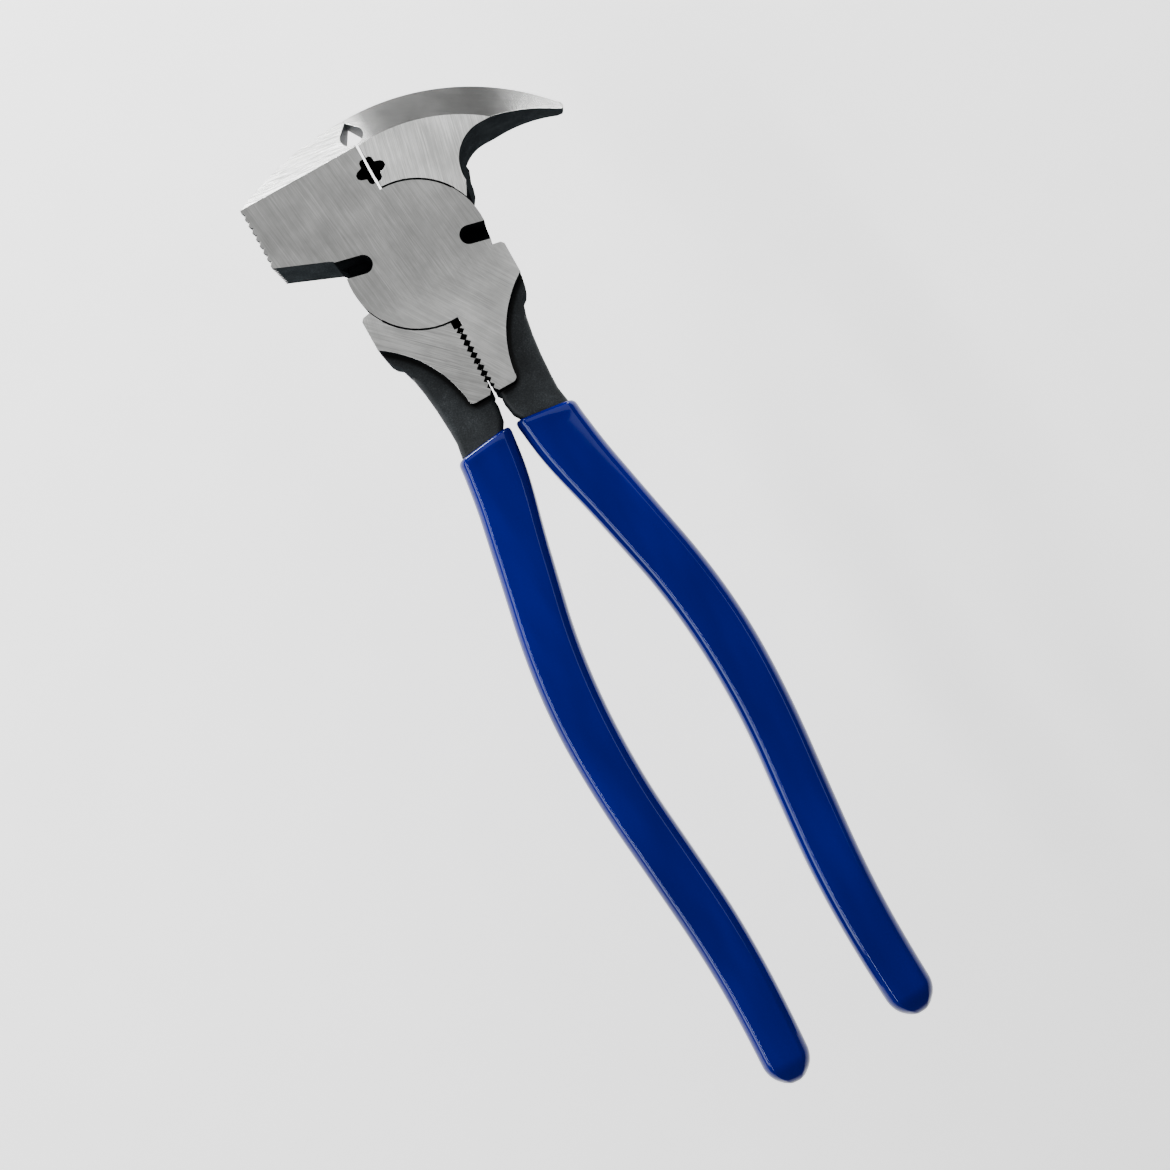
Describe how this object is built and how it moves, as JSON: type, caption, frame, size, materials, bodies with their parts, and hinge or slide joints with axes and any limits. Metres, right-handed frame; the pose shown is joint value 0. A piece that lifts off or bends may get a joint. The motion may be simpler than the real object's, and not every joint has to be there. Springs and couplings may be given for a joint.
{
  "type": "fencing pliers",
  "caption": "Lap-jointed fencing pliers with hammer face, staple claw, wire slot, side cutters, toothed lower jaws and dipped grips.",
  "frame": {"origin": "rivet axis at the back face of the head, which is the face the tool lies on", "axes": "+Z out of the front face along the rivet axis, +Y up to the top of the head, +X to the staple claw; the handles run down -Y"},
  "size_m": [0.0826, 0.2639, 0.019],
  "materials": {
    "forged_steel": "ground bright on the faces, black forged on the tangs and under the jaws",
    "rivet_steel": "ground flush with the faces",
    "grip_vinyl": "glossy deep blue dipped vinyl"
  },
  "bodies": {
    "hammer_body": {"hammer_half": "forged_steel", "pivot_rivet": "rivet_steel", "right_grip": "grip_vinyl"},
    "claw_body": {"claw_half": "forged_steel", "left_grip": "grip_vinyl"}
  },
  "joints": [
    {"name": "pivot", "type": "hinge", "parent": "hammer_body", "child": "claw_body", "pos_m": [0, 0, 0.0095], "axis": [0, 0, -1], "range_deg": [0, 40]}
  ]
}
